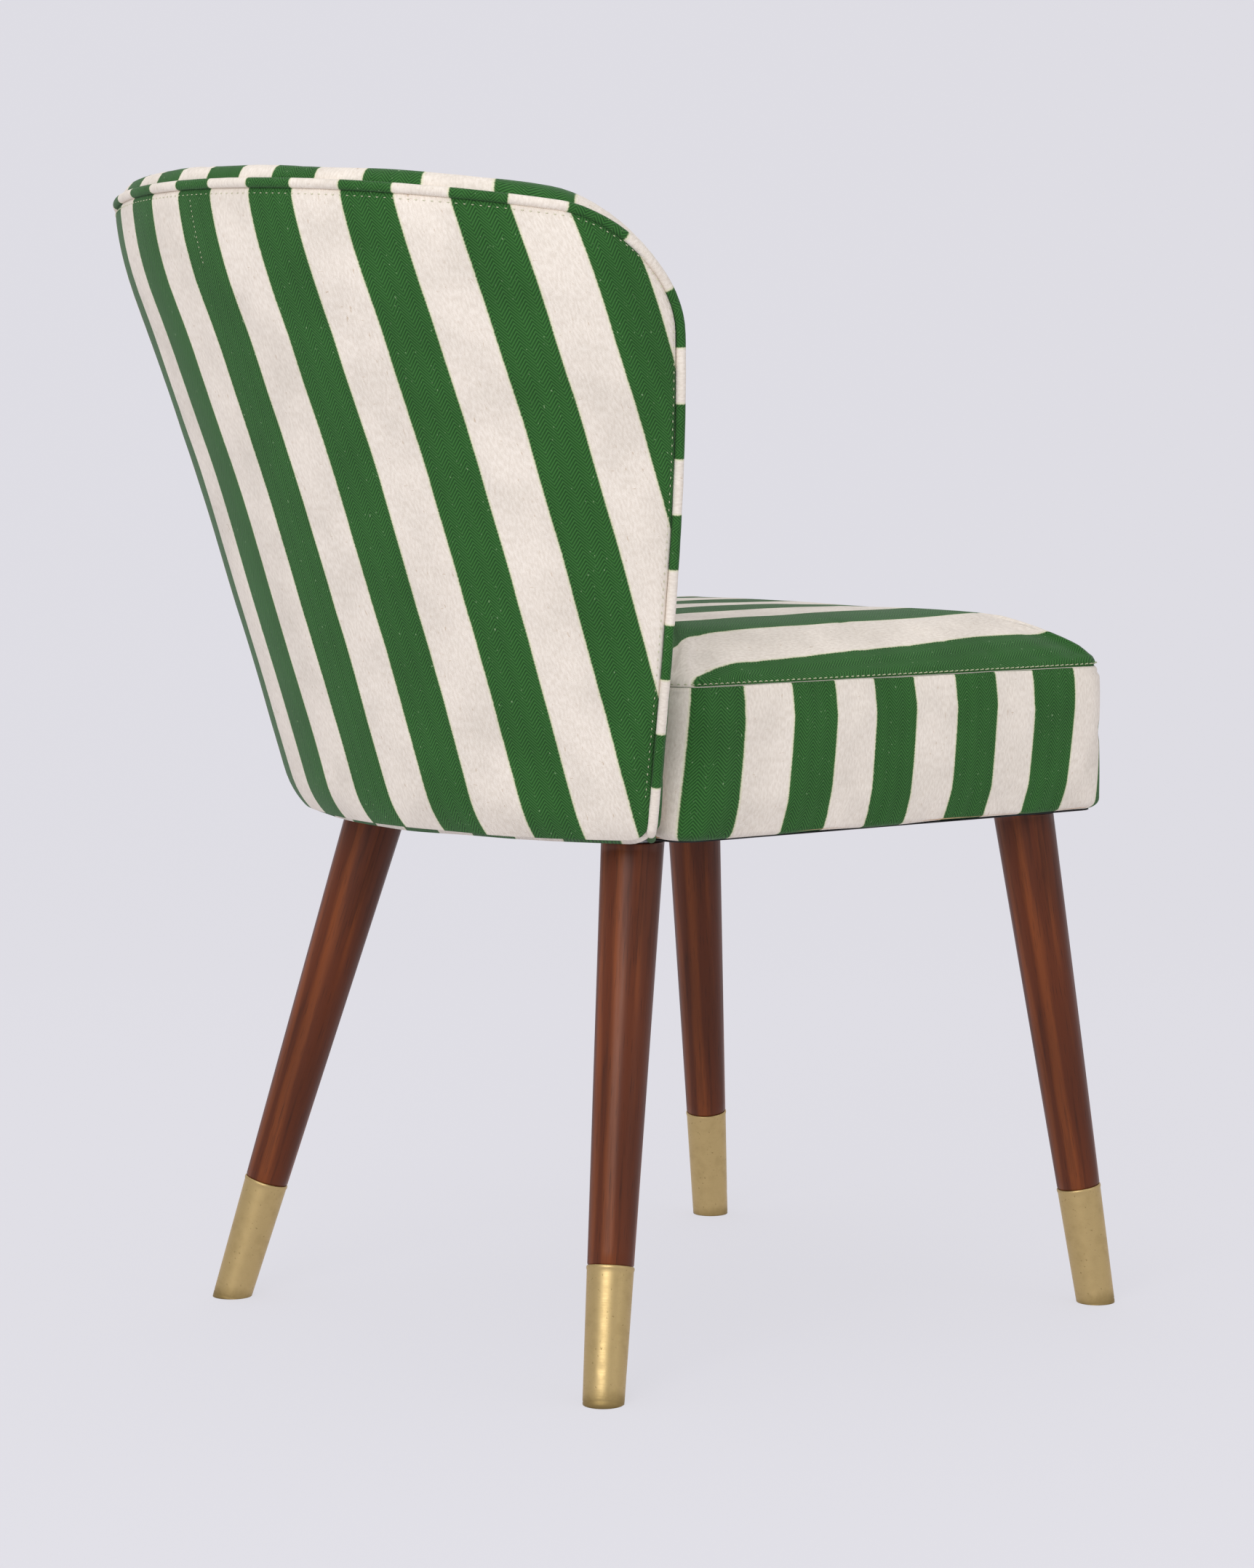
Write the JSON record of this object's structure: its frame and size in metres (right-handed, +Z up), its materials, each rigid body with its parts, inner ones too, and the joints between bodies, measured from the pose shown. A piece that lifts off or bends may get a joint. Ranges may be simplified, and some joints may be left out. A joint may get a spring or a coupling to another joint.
{
  "type": "dining chair",
  "caption": "Upholstered dining chair with a wrap-around curved back edged in piping, a boxed crowned seat and splayed tapered legs ending in metal ferrules",
  "frame": {"origin": "on the floor under the middle of the chair's overall width and depth", "axes": "+Z up, -Y towards the front edge of the seat, +X towards the sitter's left; node names say left and right as seen from in front of the chair"},
  "size_m": [0.5008, 0.654, 0.8076],
  "materials": {
    "striped_cloth": "woven cotton and linen, green and cream stripes",
    "piping_cloth": "striped cloth cut across and sewn over cord",
    "foam": "matt upholstery foam",
    "dust_cloth": "thin black woven lining",
    "beech": "planed, unfinished",
    "plywood": "sanded, unfinished",
    "stained_wood": "dark red-brown stain under satin lacquer",
    "brass": "brushed satin with an aged tone",
    "zinc_steel": "bright zinc plate"
  },
  "bodies": {
    "root": {"back_bolt_left_inner": "zinc_steel", "back_bolt_left_outer": "zinc_steel", "back_bolt_right_inner": "zinc_steel", "back_bolt_right_outer": "zinc_steel", "back_bottom_rail": "beech", "back_foam": "foam", "back_panel": "plywood", "back_stay_left": "beech", "back_stay_right": "beech", "back_top_rail": "beech", "back_upright_left": "beech", "back_upright_right": "beech", "back_welt": "piping_cloth", "corner_block_front_left": "beech", "corner_block_front_right": "beech", "corner_block_rear_left": "beech", "corner_block_rear_right": "beech", "dust_cover": "dust_cloth", "ferrule_front_left": "brass", "ferrule_front_right": "brass", "ferrule_rear_left": "brass", "ferrule_rear_right": "brass", "hanger_bolt_front_left": "zinc_steel", "hanger_bolt_front_right": "zinc_steel", "hanger_bolt_rear_left": "zinc_steel", "hanger_bolt_rear_right": "zinc_steel", "inside_back_cover": "striped_cloth", "leg_front_left": "stained_wood", "leg_front_right": "stained_wood", "leg_plate_front_left": "zinc_steel", "leg_plate_front_right": "zinc_steel", "leg_plate_rear_left": "zinc_steel", "leg_plate_rear_right": "zinc_steel", "leg_rear_left": "stained_wood", "leg_rear_right": "stained_wood", "outside_back_cover": "striped_cloth", "seat_border": "striped_cloth", "seat_deck": "plywood", "seat_foam": "foam", "seat_front_rail": "beech", "seat_left_rail": "beech", "seat_rear_rail": "beech", "seat_right_rail": "beech", "seat_top_cover": "striped_cloth"}
  },
  "joints": []
}
